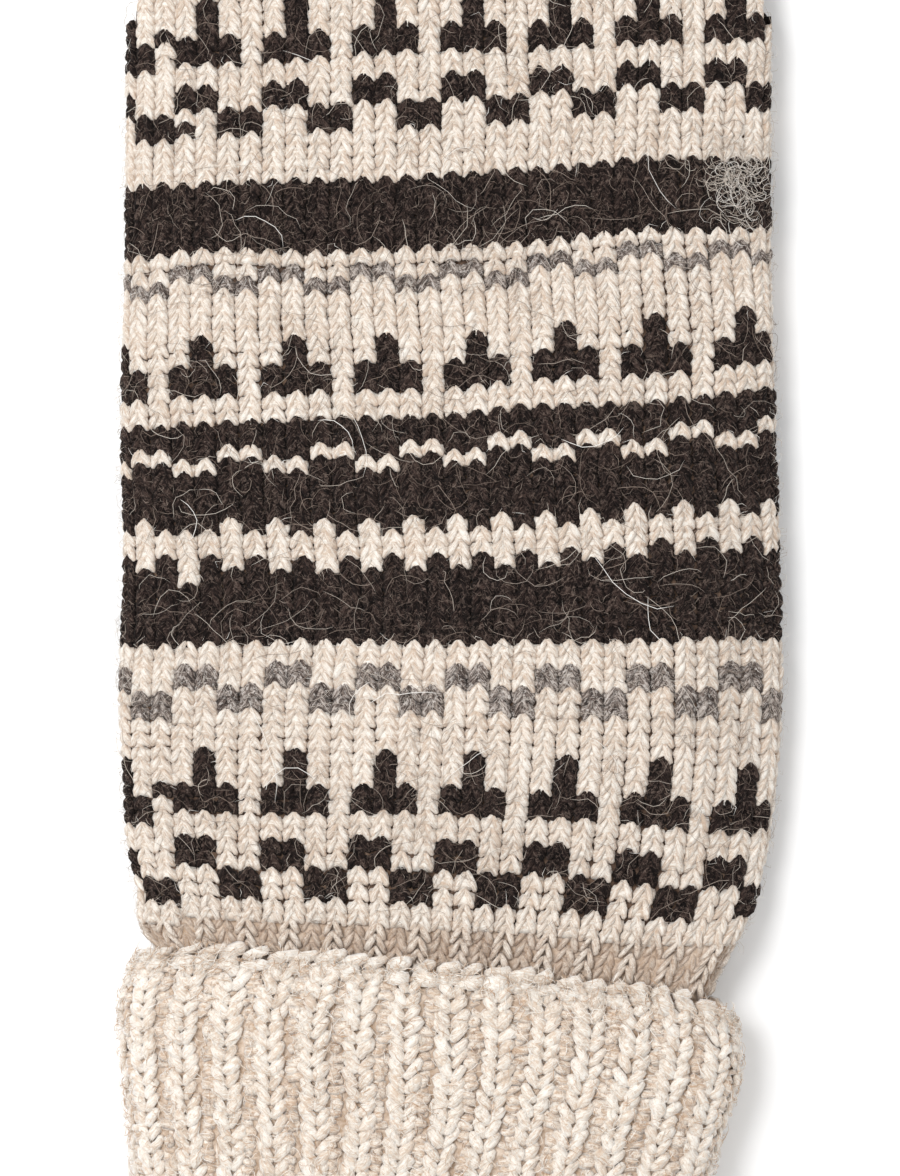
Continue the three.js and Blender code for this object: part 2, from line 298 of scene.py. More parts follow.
def handPlace(share, y, s, thin, inset):
    along = (s - mitten["ribLength"]) / mitten["handLength"]
    left = readTable(handOutline, "left", along)
    right = readTable(handOutline, "right", along)
    x = share * (np.where(share < 0, left, right) * mitten["handWidth"] - inset)
    z = heightInTip(y, handDepth, thin, inset)
    return onCentreLine(x, s, z + handLift(x, s, z))


# The hand's skin. In the finger end its columns stay where they are and stop at the outline.
def handSkin(arc, s, inset=0.0):
    share, y = readOutline(handRound, arc)
    narrow, thin = tipShares(s, mitten["tipLength"], roundFrom, inset)
    narrow = np.maximum(narrow, 1e-3)
    inTip = np.clip(share / narrow, -1, 1)
    power = 2 / mitten["roundness"]
    yTip = np.sign(y) * (1 - np.abs(inTip) ** power) ** (1 / power)
    rounded = narrow < 0.9999
    y = np.where(rounded, yTip, y)
    share = np.where(rounded, inTip * narrow, share)
    return handPlace(share, y, s, thin, inset)


# The same, but its columns draw together in the finger end
def drawnInSkin(arc, s, inset=0.0):
    share, y = readOutline(handRound, arc)
    narrow, thin = tipShares(s, mitten["tipLength"], roundFrom, inset)
    return handPlace(share * narrow, y, s, thin, inset)


def cuffHalf(s, layer, x):
    if layer == "turned":
        return mitten["cuffWidth"] * readTable(turnedOutline, "half", s / mitten["ribLength"])
    along = s / mitten["ribLength"]
    left = readTable(innerOutline, "left", along)
    right = readTable(innerOutline, "right", along)
    free = mitten["cuffWidth"] * np.where(x < 0, left, right)
    turned = mitten["cuffWidth"] * readTable(turnedOutline, "half", along)
    covered = s < mitten["turnUp"] + mitten["edgeHeight"] - mitten["edgeDroop"]
    return np.where(covered, np.minimum(free, turned - mitten["wall"] - mitten["gap"]), free)


def cuffSkin(arc, s, inset, layer):
    x, y = readOutline(cuffRound, arc)
    half = cuffHalf(s, layer, x) - inset
    under = 0 if layer == "turned" else mitten["wall"] + mitten["gap"]
    depth = cuffDepth - 2 * (inset + under)
    z = (cuffDepth - depth) / 2 + outlineHeight(y) * depth
    droop = mitten["edgeDroop"] * s / mitten["turnUp"] if layer == "turned" else 0
    return onCentreLine(x * half, s - droop * np.abs(x) ** 6, z)


# The cuff's outer face by the distance from its fold, which goes negative up inside the hollow
def cuffFace(arc, d):
    radius = mitten["wall"] + mitten["gap"] / 2
    quarter = radius * np.pi / 2
    turn = np.clip(d / quarter, -1, 1) * np.pi / 2
    inset = radius * (1 - np.sin(turn))
    s = radius * (1 - np.cos(turn)) + np.maximum(np.abs(d) - quarter, 0)
    return cuffSkin(arc, s, inset, "turned")


def wristSkin(arc, s):
    return cuffSkin(arc, s, 0.0, "inner")


def thumbSkin(arc, s, inset=0.0):
    share, y = readOutline(thumbRound, arc)
    narrow, thin = tipShares(s, thumb["tipLength"], thumbEnd - thumb["tipLength"], inset)
    z = heightInTip(y, thumbDepth, thin, inset)
    return onCentreLine(thumbMiddle + share * (thumb["width"] / 2 - inset) * narrow, s, z)


# The shapes above start at the fold. The frame says where the finger tip and the widest place are.
handLow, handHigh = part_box("hand")
reachAlong = np.linspace(mitten["ribLength"], fingerTip, 400)
widest = np.concatenate((handSkin(0.0 * reachAlong, reachAlong),
                         handSkin(handRound["round"] / 2 + 0.0 * reachAlong, reachAlong)))
shift = np.array([
    (handHigh.x + handLow.x) / 2 / mm - (widest[:, 0].max() + widest[:, 0].min()) / 2,
    handHigh.y / mm - centreLine(fingerTip)[2],
    0.0,
])


# Places on a skin, at heights above it
def liftOff(skin, arc, s, height):
    step = 0.12
    alongArc = skin(arc + step, s) - skin(arc - step, s)
    alongS = skin(arc, s + step) - skin(arc, s - step)
    normal = np.cross(alongS, alongArc)
    normal /= np.maximum(np.linalg.norm(normal, axis=-1, keepdims=True), 1e-9)
    return skin(arc, s) + normal * np.asarray(height)[..., None] + shift


print("shape")


# Materials

def wool(red, green, blue):
    def linear(c):
        c /= 255
        return c / 12.92 if c <= 0.04045 else ((c + 0.055) / 1.055) ** 2.4
    return (linear(red), linear(green), linear(blue), 1)


# Each yarn: colours from low to high, a painted shade colour for where a strand goes down between the
# others, a colour for loose fibre lines and how strongly they show, and its sheen
yarns = {
    # on the cream yarns the fibre line colour is tan: partly the yarn's own tan fibres, partly painted shade
    # along loose fibres
    "creamYarn": {
        "low": wool(196, 178, 161), "mid": wool(219, 210, 199), "high": wool(233, 228, 220),
        "deep": wool(198, 167, 140), "hair": wool(182, 150, 122), "hairs": 0.5, "sheen": 0.4,
    },
    "darkYarn": {
        "low": wool(12, 7, 6), "mid": wool(32, 23, 21), "high": wool(64, 51, 46),
        "deep": wool(14, 9, 8), "hair": wool(120, 104, 95), "hairs": 0.6, "sheen": 0.02,
    },
    "greyYarn": {
        "low": wool(56, 47, 43), "mid": wool(114, 102, 95), "high": wool(188, 178, 170),
        "deep": wool(48, 38, 34), "hair": wool(214, 208, 202), "hairs": 0.7, "sheen": 0.1,
    },
    "cuffYarn": {
        "low": wool(208, 190, 172), "mid": wool(227, 219, 208), "high": wool(238, 233, 225),
        "deep": wool(222, 196, 170), "hair": wool(196, 162, 134), "hairs": 0.5, "sheen": 0.9,
    },
    # the cuff's yarn again, made darker and warmer as painted shade for the recessed purl valleys
    "purlYarnWithPaintedShade": {
        "low": wool(196, 170, 146), "mid": wool(219, 204, 188), "high": wool(234, 227, 217),
        "deep": wool(226, 202, 178), "hair": wool(140, 102, 74), "hairs": 0.6, "sheen": 0.9,
    },
    # the hand's cream yarn, made darker as painted shade for the wrist, which lies recessed under the
    # turned-up cuff
    "wristYarnWithPaintedShade": {
        "low": wool(188, 168, 150), "mid": wool(213, 201, 188), "high": wool(229, 221, 211),
        "deep": wool(168, 140, 116), "hair": wool(140, 112, 90), "hairs": 0.7, "sheen": 0.4,
    },
    "edgeYarn": {
        "low": wool(210, 193, 176), "mid": wool(230, 223, 213), "high": wool(242, 238, 231),
        "deep": wool(200, 168, 138), "hair": wool(196, 162, 134), "hairs": 0.4, "sheen": 0.9,
    },
}


def startMaterial(name, roughness, specular):
    material = bpy.data.materials.new(name)
    material.use_nodes = True
    tree = material.node_tree
    shader = tree.nodes["Principled BSDF"]
    shader.inputs["Roughness"].default_value = roughness
    shader.inputs["Specular IOR Level"].default_value = specular
    return material, tree, shader


def addNode(tree, kind, **inputs):
    node = tree.nodes.new(kind)
    for name, value in inputs.items():
        node.inputs[name].default_value = value
    return node


# The "yarnLook" of a strand: how much painted shade it gets, from how far down it lies, and its tone
def addYarnLook(tree):
    look = tree.nodes.new("ShaderNodeAttribute")
    look.attribute_name = "yarnLook"
    parts = tree.nodes.new("ShaderNodeSeparateXYZ")
    tree.links.new(look.outputs["Vector"], parts.inputs["Vector"])
    return parts.outputs["X"], parts.outputs["Y"]


def addMath(tree, operation, a, b=None, c=None):
    node = tree.nodes.new("ShaderNodeMath")
    node.operation = operation
    for socket, value in zip(node.inputs, (a, b, c)):
        if isinstance(value, (int, float)):
            socket.default_value = value
        elif value is not None:
            tree.links.new(value, socket)
    return node.outputs["Value"]


def addMix(tree, factor, a, b):
    node = tree.nodes.new("ShaderNodeMix")
    node.data_type = "RGBA"
    for socket, value in ((node.inputs["Factor"], factor), (node.inputs["A"], a), (node.inputs["B"], b)):
        if isinstance(value, (int, float, tuple)):
            socket.default_value = value
        else:
            tree.links.new(value, socket)
    return node.outputs["Result"]


# Loose fibres lying over the yarn: the thin lines where a noise crosses its middle value. On the cream yarns
# they are drawn tan, partly the yarn's own tan fibres and partly painted shade along the loose fibres.
def addFibreLines(tree, place, size, width, seed):
    spot = tree.nodes.new("ShaderNodeMapping")
    spot.inputs["Location"].default_value = (seed, 2.3 * seed, -seed)
    spot.inputs["Scale"].default_value = (1 / (size * mm),) * 3
    tree.links.new(place, spot.inputs["Vector"])
    swirl = addNode(tree, "ShaderNodeTexNoise", Scale=1.0, Detail=1.5, Roughness=0.4, Distortion=1.6)
    tree.links.new(spot.outputs["Vector"], swirl.inputs["Vector"])
    gaps = addNode(tree, "ShaderNodeTexNoise", Scale=1.9, Detail=0.0)
    tree.links.new(spot.outputs["Vector"], gaps.inputs["Vector"])
    off = addMath(tree, "ABSOLUTE", addMath(tree, "SUBTRACT", swirl.outputs["Fac"], 0.5))
    line = addMath(tree, "SUBTRACT", 1.0, addMath(tree, "DIVIDE", off, width))
    line = addMath(tree, "MAXIMUM", line, 0.0)
    shown = addMath(tree, "GREATER_THAN", gaps.outputs["Fac"], 0.47)
    return addMath(tree, "MULTIPLY", line, shown)


def addRamp(tree, factor, stops):
    ramp = tree.nodes.new("ShaderNodeValToRGB")
    elements = ramp.color_ramp.elements
    while len(elements) < len(stops):
        elements.new(0.5)
    for element, (position, colour) in zip(elements, stops):
        element.position = position
        element.color = colour
    tree.links.new(factor, ramp.inputs["Fac"])
    return ramp.outputs["Color"]


def makeYarnMaterial(name, look):
    material, tree, shader = startMaterial(name, 0.92, 0.15)
    link = tree.links.new
    shader.inputs["Sheen Weight"].default_value = look["sheen"]
    shader.inputs["Sheen Roughness"].default_value = 0.5

    place = tree.nodes.new("ShaderNodeAttribute")
    place.attribute_name = "yarnPlace"
    deep, toneShift = addYarnLook(tree)

    fibre = tree.nodes.new("ShaderNodeMapping")  # long along the yarn, fine across it
    fibre.inputs["Scale"].default_value = (3.6, 3.6, 0.7)
    link(place.outputs["Vector"], fibre.inputs["Vector"])
    streaks = addNode(tree, "ShaderNodeTexNoise", Scale=1.0, Detail=3.0, Roughness=0.7)
    link(fibre.outputs["Vector"], streaks.inputs["Vector"])
    mottle = addNode(tree, "ShaderNodeTexNoise", Scale=0.8, Detail=2.0, Roughness=0.5)
    link(place.outputs["Vector"], mottle.inputs["Vector"])
    tone = addMath(tree, "MULTIPLY_ADD", toneShift, 0.07, streaks.outputs["Fac"])
    tone = addMath(tree, "MULTIPLY_ADD", mottle.outputs["Fac"], 0.25, tone)
    colour = addRamp(tree, tone, ((0.5, look["low"]), (0.63, look["mid"]), (0.76, look["high"])))

    # painted shade: the colour darkens where the yarn goes down between the others, and loose fibre lines
    # lie over it
    colour = addMix(tree, deep, colour, look["deep"])
    overAll = tree.nodes.new("ShaderNodeTexCoord").outputs["Object"]
    lines = addFibreLines(tree, overAll, 2.4, 0.022, 4.0)
    more = addFibreLines(tree, overAll, 1.4, 0.034, 9.0)
    hairs = addMath(tree, "MULTIPLY", addMath(tree, "MAXIMUM", lines, more), look["hairs"])
    colour = addMix(tree, hairs, colour, look["hair"])
    link(colour, shader.inputs["Base Color"])

    bump = addNode(tree, "ShaderNodeBump", Strength=0.8, Distance=0.00025)
    link(streaks.outputs["Fac"], bump.inputs["Height"])
    link(bump.outputs["Normal"], shader.inputs["Normal"])
    return material


yarnMaterial = {name: makeYarnMaterial(name, look) for name, look in yarns.items()}


# Beyond "darkFrom", a place along Y in metres, the knitting in front of the shell is dark
def makeShellMaterial(name, high, low, darkFrom):
    material, tree, shader = startMaterial(name, 0.95, 0.15)
    link = tree.links.new
    shader.inputs["Sheen Weight"].default_value = 0.2
    place = tree.nodes.new("ShaderNodeTexCoord")
    tufts = addNode(tree, "ShaderNodeTexNoise", Scale=900.0, Detail=3.0, Roughness=0.6)
    link(place.outputs["Object"], tufts.inputs["Vector"])
    colour = addRamp(tree, tufts.outputs["Fac"], ((0.35, low), (0.7, high)))
    parts = tree.nodes.new("ShaderNodeSeparateXYZ")
    link(place.outputs["Object"], parts.inputs["Vector"])
    inTip = addMath(tree, "GREATER_THAN", parts.outputs["Y"], darkFrom)
    link(addMix(tree, inTip, colour, wool(38, 28, 25)), shader.inputs["Base Color"])
    bump = addNode(tree, "ShaderNodeBump", Strength=0.8, Distance=0.0006)
    link(tufts.outputs["Fac"], bump.inputs["Height"])
    link(bump.outputs["Normal"], shader.inputs["Normal"])
    return material


darkTip = 19.5  # how much of the finger end is dark
tipFrom = handHigh.y - darkTip * mm
handBacking = makeShellMaterial("hand backing", wool(120, 98, 82), wool(66, 50, 42), tipFrom)
cuffBacking = makeShellMaterial("cuff backing", wool(222, 206, 190), wool(178, 154, 132), tipFrom)
print("materials")


# Strands, modelled once, from which every stitch is laid

strandShape = {
    "fullness": 1.2,
    "levelPower": 0.75,  # how flat its middle lies, between ends that sink
    "shadePower": 1.3,
    "toneSpread": 0.45,
    "steepest": 0.02,
    "tableTop": 0.02,  # what lies on the table is pressed flat on it
}
handmade = {  # how far strands differ from each other, times a form's jitter
    "reach": 0.12, "rise": 0.08, "width": 0.12, "thick": 0.1, "foot": 0.08, "along": 0.1, "height": 0.12,
}
# A form says how a strand lies, in mm: foot and reach across, start and rise along, height above the
# skin, and how far its ends sink. It curves by its bow, and painted shade darkens it from one height down to
# another.
plainForm = {"bow": 1.0, "taper": 0, "peak": 1.0, "leftReach": 1.0, "leftWidth": 1.0, "twist": 1.0}


def readStrand(strand):
    points = np.array([v.co for v in strand.data.vertices])
    starts = np.array([p.loop_start for p in strand.data.polygons])
    loops = np.array([loop.vertex_index for loop in strand.data.loops])
    back = np.concatenate([list(p.vertices)[::-1] for p in strand.data.polygons])
    bpy.data.objects.remove(strand)
    return {"points": points, "starts": starts, "loops": loops, "back": back}


def makeStrand(name, sides, rings):
    bpy.ops.object.select_all(action="DESELECT")
    bpy.ops.mesh.primitive_uv_sphere_add(
        segments=sides, ring_count=rings, radius=1, location=(0, 0, 0))
    strand = bpy.context.object
    strand.name = name
    # the rings next to the ends are widened, so that the strand is full along its length
    bpy.ops.object.mode_set(mode="EDIT")
    bpy.ops.mesh.select_all(action="DESELECT")
    bpy.ops.object.mode_set(mode="OBJECT")
    outer = math.cos(math.pi / rings)
    for vertex in strand.data.vertices:
        vertex.select = abs(abs(vertex.co.z) - outer) < 1e-3
    bpy.ops.object.mode_set(mode="EDIT")
    bpy.ops.transform.resize(value=(strandShape["fullness"], strandShape["fullness"], 1))
    bpy.ops.object.mode_set(mode="OBJECT")
    return readStrand(strand)


fullStrand = makeStrand("strand", 6, 5)
plainStrand = makeStrand("plain strand", 5, 4)


# Copies of a strand as one mesh. Points are (copy, vertex, axis), and a flipped copy is mirrored.
def joinCopies(name, strand, points, flipped, place, look, material):
    copies, each = points.shape[:2]
    points[..., 2] = np.maximum(points[..., 2], strandShape["tableTop"])
    mesh = bpy.data.meshes.new(name)
    mesh.vertices.add(copies * each)
    mesh.vertices.foreach_set("co", (points * mm).astype(np.float32).ravel())
    loops = np.where(flipped[:, None], strand["back"], strand["loops"])
    loops = loops + (np.arange(copies) * each)[:, None]
    mesh.loops.add(loops.size)
    mesh.loops.foreach_set("vertex_index", loops.astype(np.int32).ravel())
    starts = strand["starts"] + (np.arange(copies) * len(strand["loops"]))[:, None]
    mesh.polygons.add(starts.size)
    mesh.polygons.foreach_set("loop_start", starts.astype(np.int32).ravel())
    mesh.update(calc_edges=True)
    mesh.attributes.new("yarnPlace", "FLOAT_VECTOR", "POINT")
    mesh.attributes["yarnPlace"].data.foreach_set("vector", place.astype(np.float32).ravel())
    mesh.attributes.new("yarnLook", "FLOAT_VECTOR", "POINT")
    mesh.attributes["yarnLook"].data.foreach_set("vector", look.astype(np.float32).ravel())
    mesh.shade_smooth()
    mesh.materials.append(material)
    piece = bpy.data.objects.new(name, mesh)
    bpy.context.scene.collection.objects.link(piece)
    return piece


# Lays strands on a skin. Each runs outwards and along from its stitch's foot.
# "grow" is 1 where the knitting grows towards +s, and -1 where it grows towards -s.
def layStrands(name, strand, skin, arc, s, side, grow, form, material):
    count = len(arc)
    points = strand["points"]
    t = (points[:, 2] + 1) / 2
    fat = np.minimum(1, np.hypot(points[:, 0], points[:, 1]))
    angle = np.arctan2(points[:, 1], points[:, 0])
    jitter = form["jitter"]

    def vary(key):
        return handmade[key] * jitter * dice.uniform(-1, 1, (count, 1))

    leftish = (side < 0)[:, None]
    taper = 1 - form["taper"] * (1 - t) ** 2
    reach = form["reach"] * np.where(leftish, form["leftReach"], 1) * (1 + vary("reach"))
    rise = form["rise"] * (1 + vary("rise"))
    halfWidth = form["width"] / 2 * np.where(leftish, form["leftWidth"], 1) * (1 + vary("width"))
    halfThick = form["thick"] / 2 * (1 + vary("thick"))
    foot = form["foot"] + vary("foot")
    start = form["start"] + vary("along")
    height = form["height"] + vary("height")

    bow = form["bow"]
    across = foot + reach * (1 - (1 - t) ** bow)
    up = start + rise * t
    tangentAcross = reach * bow * np.maximum(1 - t, strandShape["steepest"]) ** (bow - 1)
    length = np.hypot(tangentAcross, rise)
    level = np.sin(np.pi * np.clip(t, 0, 1) ** form["peak"]) ** strandShape["levelPower"]
    lumpy = fat * (1 + form["lump"] * dice.normal(0, 1, (count, len(points))))
    sideways = np.cos(angle) * lumpy * halfWidth * taper
    outwards = np.sin(angle) * lumpy * halfThick * taper
    across = across + sideways * rise / length
    up = up - sideways * tangentAcross / length
    high = height - form["sink"] * (1 - level) + outwards

    arcs = arc[:, None] - side[:, None] * across
    places = liftOff(skin, arcs, s[:, None] + grow * up, high)

    twist = form["twist"] * t
    offset = dice.uniform(0, 90, (count, 1))
    place = np.stack(np.broadcast_arrays(
        fat * np.cos(angle + twist) * halfWidth + offset,
        fat * np.sin(angle + twist) * halfThick + offset * 0.7,
        t * length + offset * 1.3,
    ), axis=-1)
    # painted shade: the lower a strand lies, down between the others, the more of its yarn's shade colour it
    # gets
    deep = np.clip((form["shadeFrom"] - high) / form["shadeOver"], 0, 1) ** strandShape["shadePower"]
    tone = np.broadcast_to(dice.normal(0, strandShape["toneSpread"], (count, 1)), deep.shape)
    look = np.stack((deep, tone, np.zeros_like(deep)), axis=-1)
    flipped = side * grow < 0
    return joinCopies(name, strand, places, flipped, place, look, yarnMaterial[material])


# A stitch is a pair of strands, which meet at its foot
def layPairs(name, strand, skin, arc, s, grow, form, material):
    sides = np.repeat([-1.0, 1.0], len(arc))
    return layStrands(name, strand, skin, np.tile(arc, 2), np.tile(s, 2), sides, grow, form, material)


# The hand: a stranded chart, knitted from the finger tip towards the wrist

# c cream, d dark, g grey, over four stitches from the middle of a tree
handBands = [  # from the wrist to the finger end: pattern, rows, length in mm
    ("cccc", 2, 3.45), ("cddc", 2, 5.25), ("dccd", 2, 5.1), ("cccc", 2, 4.3),
    ("ddcd", 2, 5.0), ("dccc", 3, 6.1), ("cccc", 3, 6.7), ("cggc", 2, 4.4),
    ("gccg", 2, 3.65), ("cccc", 2, 3.55), ("dddd", 6, 11.9), ("dcdc", 1, 2.2),
    ("cccc", 2, 4.2), ("dcdc", 1, 2.0), ("dddd", 4, 8.35), ("cddc", 1, 1.95),
    ("dccd", 1, 2.1), ("dddd", 2, 4.15), ("cccc", 2, 4.15), ("ddcd", 2, 4.65),
    ("dccc", 2, 4.65), ("cccc", 4, 7.25), ("cggc", 1, 2.15), ("gccg", 1, 2.1),
    ("cccc", 1, 2.65), ("dddd", 6, 11.8), ("cccc", 4, 8.15), ("cddc", 2, 4.25),
    ("dccd", 2, 4.25), ("cccc", 2, 3.4), ("ddcd", 2, 4.55), ("dccc", 3, 5.85),
    ("cccc", 3, 5.9), ("gccg", 1, 2.05), ("cggc", 1, 2.05), ("cccc", 1, 2.0),
    ("dddd", 10, 19.2),
]
strays = (  # column, row and colour of the stitches that break the pattern where the rounds start
    (-5, 63, "d"), (-6, 71, "d"), (-6, 10, "d"), (-5, 31, "d"), (-5, 27, "c"),
)
handKnit = {
    "columns": 62,
    "firstColumn": -20,  # the pattern meets itself on the palm
    "roundsFrom": -5,
    "treeAt": -25.4,  # across, of the tree whose middle is column 0
    "rowsFrom": 60.0,  # along
    "pivot": -25.6,  # where the bands' lengths hold; they tilt either side of it
    "driftAt": 117.0,  # the columns wander to the right here
    "driftOver": 16.0,
    "drift": 1.3,
    "rowWander": 0.34,
    "columnWander": 0.3,
    "overSide": 5.0,  # how far the back's stitches go on beneath
    "tipClear": 1.2,  # where a column stops before the outline of the finger end
    "sideClear": 0.012,
    "endClear": 0.6,
}
handSpread = {  # how far the columns stand out at the sides, and the middle ones to the right
    "along": (60, 90, 98, 107, 124, 150, 175, 190, 245),
    "right": (0.6, 0.8, 0.8, 0.8, 1.6, 1.4, 0.9, 0.6, 0.6),
    "middle": (1.0, 1.0, 0.4, -0.3, -0.3, 0.4, 0, -0.3, -0.3),
    "left": 0.8,
    "rightOver": (26, 46),  # across: where each begins, and where it is full
    "middleOver": (5, 35),
    "leftOver": (14, 44),
}
handTilt = {  # how the rounds rise to the right
    "along": (60, 67, 76, 84, 92, 100, 108, 117, 125, 134, 148, 158, 167, 175, 183, 192, 207, 245),
    "degrees": (1.7, 1.5, 1.05, 0.4, -0.3, -0.3, 0.4, 1.9, 1.6, 2.2, 3.4, 3.6, 3.5, 2.6, 2.7, 2.6, 2.5, 0),
}
handBow = {  # how far the middle of a round lies beyond its ends
    "along": (60, 66, 79, 96, 107, 122, 137, 149, 165, 182, 197, 206, 245),
    "bow": (0.6, 0.65, 1.2, 0.4, -0.25, -1.3, -0.4, -0.35, -1.7, -1.0, -0.1, 0.8, 0),
    "middle": -1.8,
    "half": 34.6,
    "level": 0.476,  # zero at the pivot
}
roundStep = {  # rows by which a round ends below its start
    "along": (60, 75, 84, 92, 107, 124, 140, 157, 173, 182, 190, 206, 245),
    "rows": (1.0, 1.15, 1.0, 0.7, 0.25, -0.1, 0.2, 0.25, 0.05, -0.35, 0.25, 0.4, 0.4),
    "over": (27, 50),  # columns
}
handLeg = {  # half a stitch
    "foot": -0.12, "reach": 1.85, "start": -0.6, "rise": 3.5, "bow": 1.15, "taper": 0.25, "lump": 0.075,
    "width": 1.42, "thick": 1.6, "height": -0.7, "sink": 0.5, "peak": 0.85,
    "leftReach": 0.9, "leftWidth": 0.92, "jitter": 1.0, "twist": 1.2,
    "shadeFrom": -0.1, "shadeOver": 1.5,
}
handLoop = {  # the head of a stitch, behind the feet of the next
    **plainForm, "foot": -2.2, "reach": 4.4, "start": 1.4, "rise": 0.1, "lump": 0.075,
    "width": 2.6, "thick": 1.0, "height": -0.9, "sink": 0.3, "jitter": 0.6,
    "shadeFrom": -0.7, "shadeOver": 1.6,
}


# The arc at which a tube's upper side is this far across, from 1 at its +X side to -1
def arcAtTop(outline, share):
    arcs = np.linspace(0, outline["round"] / 2, 2000)
    x = readOutline(outline, arcs)[0]
    return np.interp(-share, -x, arcs)


# Hand knitting wanders a little: a sum of slow waves over the skin
sway = {"waves": 5, "turns": (0.04, 0.22), "level": 2.2}


def waves(seed, size):
    swing = np.random.default_rng(seed)
    turns = swing.uniform(*sway["turns"], (sway["waves"], 2))
    phase = swing.uniform(0, 2 * np.pi, sway["waves"])
    return lambda a, b: size / sway["level"] * sum(
        np.sin(turn[0] * a + turn[1] * b + p) for turn, p in zip(turns, phase))


rowWave = waves(3, handKnit["rowWander"])
columnWave = waves(5, handKnit["columnWander"])


def handStitches():
    pitch = handRound["round"] / handKnit["columns"]
    treeArc = arcAtTop(handRound, handKnit["treeAt"] / (mitten["handWidth"] / 2))
    edges, patterns = [handKnit["rowsFrom"]], []
    for pattern, rows, length in handBands:
        for row in range(rows):
            edges.append(edges[-1] + length / rows)
            patterns.append(pattern)
    rowTop = np.array(edges[1:])
    rowSize = np.diff(edges)
    first = handKnit["firstColumn"]
    columns = np.arange(first, first + handKnit["columns"])
    row, column = [grid.ravel() for grid in np.meshgrid(np.arange(len(rowTop)), columns, indexing="ij")]
    letters = np.array([patterns[r][c % 4] for r, c in zip(row, column)])
    for strayColumn, strayRow, letter in strays:
        letters[(column == strayColumn) & (row == strayRow)] = letter
    arc = treeArc - column * pitch
    share = readOutline(handRound, arc)[0]
    across = share * mitten["handWidth"] / 2
    tilt = np.tan(np.radians(readTable(handTilt, "degrees", rowTop[row])))
    s = rowTop[row] + tilt * (across - handKnit["pivot"])
    fromMiddle = np.clip((across - handBow["middle"]) / handBow["half"], -1, 1)
    s = s + readTable(handBow, "bow", rowTop[row]) * (handBow["level"] - fromMiddle**2)
    # the rounds are one spiral, which comes down under the palm
    turned = np.where(column < handKnit["roundsFrom"], column + handKnit["columns"], column)
    s = s - rowSize[row] * readTable(roundStep, "rows", rowTop[row]) * smooth(turned, *roundStep["over"])
    s = s + rowWave(arc, s)
    away = (s - handKnit["driftAt"]) / handKnit["driftOver"]
    arc = arc - handKnit["drift"] * np.exp(-away * away) + columnWave(s, arc * 0.3)
    arc = arc - readTable(handSpread, "right", rowTop[row]) * smooth(across, *handSpread["rightOver"])
    arc = arc - readTable(handSpread, "middle", rowTop[row]) * smooth(across, *handSpread["middleOver"])
    arc = arc + handSpread["left"] * smooth(-across, *handSpread["leftOver"])
    narrow = tipShares(s - handKnit["tipClear"], mitten["tipLength"], roundFrom, 0)[0]
    share = readOutline(handRound, arc)[0]
    keep = np.abs(share) < narrow - handKnit["sideClear"] * (narrow < 0.999)
    keep = keep & (s < fingerTip - handKnit["endClear"])
    stitches = {"arc": arc, "s": s, "letter": letters, "row": row, "column": column}
    return {key: values[keep] for key, values in stitches.items()}


# The palm's stitches stop where the thumb is knitted on, and aren't laid where it covers them
def clearOfThumb(arc, s):
    x, y = readOutline(handRound, arc)
    across = x * mitten["handWidth"] / 2 - thumbMiddle
    under = (y < 0) & (np.abs(across) < thumb["width"] / 2 - thumb["sideShown"])
    return ~(under & (s > slitAt) & (s < thumbEnd - thumb["endShown"]))


def layHand():
    stitches = handStitches()
    over = handKnit["overSide"]
    top = np.mod(stitches["arc"] + over, handRound["round"]) < handRound["round"] / 2 + 2 * over
    clear = clearOfThumb(stitches["arc"], stitches["s"])
    made = []
    yarnOf = {"c": ("cream", "creamYarn"), "d": ("dark", "darkYarn"), "g": ("grey", "greyYarn")}
    for part, chosen, strand in (("back", top, fullStrand), ("palm", ~top & clear, plainStrand)):
        for letter, (colour, material) in yarnOf.items():
            use = chosen & (stitches["letter"] == letter)
            arc, s = stitches["arc"][use], stitches["s"][use]
            made.append(layPairs(f"{part}_{colour}_knit", strand, handSkin, arc, s, -1, handLeg, material))
            if part == "back":
                made.append(layStrands(f"{part}_{colour}_loops", plainStrand, handSkin, arc, s,
                                       np.ones(len(arc)), -1, handLoop, material))
    return made


# Decreases along the rim of the finger end, where the columns above stop
tipRim = {
    "from": 12.0, "rowHeight": 1.9, "sideReach": 9.0, "endReach": 5.0,
    "lastRow": 0.9, "end": 0.4, "start": -0.8,
}


def layTipRim(name, start, end, material):
    rows = np.arange(start, end, tipRim["rowHeight"])
    columns = np.arange(handKnit["columns"]) * handRound["round"] / handKnit["columns"]
    s, arc = [grid.ravel() for grid in np.meshgrid(rows, columns, indexing="ij")]
    quarter = handRound["round"] / 4
    fromSide = np.abs(np.mod(arc + quarter, 2 * quarter) - quarter)
    use = (fromSide < tipRim["sideReach"]) | (s > fingerTip - tipRim["endReach"])
    arc, s = arc[use], np.minimum(s[use], fingerTip - tipRim["lastRow"])
    form = {**handLeg, "start": tipRim["start"]}
    return layPairs(name, plainStrand, drawnInSkin, arc, s, -1, form, material)


handPieces = layHand()
darkFrom = fingerTip - darkTip
handPieces.append(layTipRim("tip_rim_cream", roundFrom + tipRim["from"], darkFrom, "creamYarn"))
handPieces.append(layTipRim("tip_rim_dark", darkFrom, fingerTip - tipRim["end"], "darkYarn"))
print("hand", [(p.name, len(p.data.polygons)) for p in handPieces])


# Shells behind the stitches: a grid is wrapped on to the skin and thickened

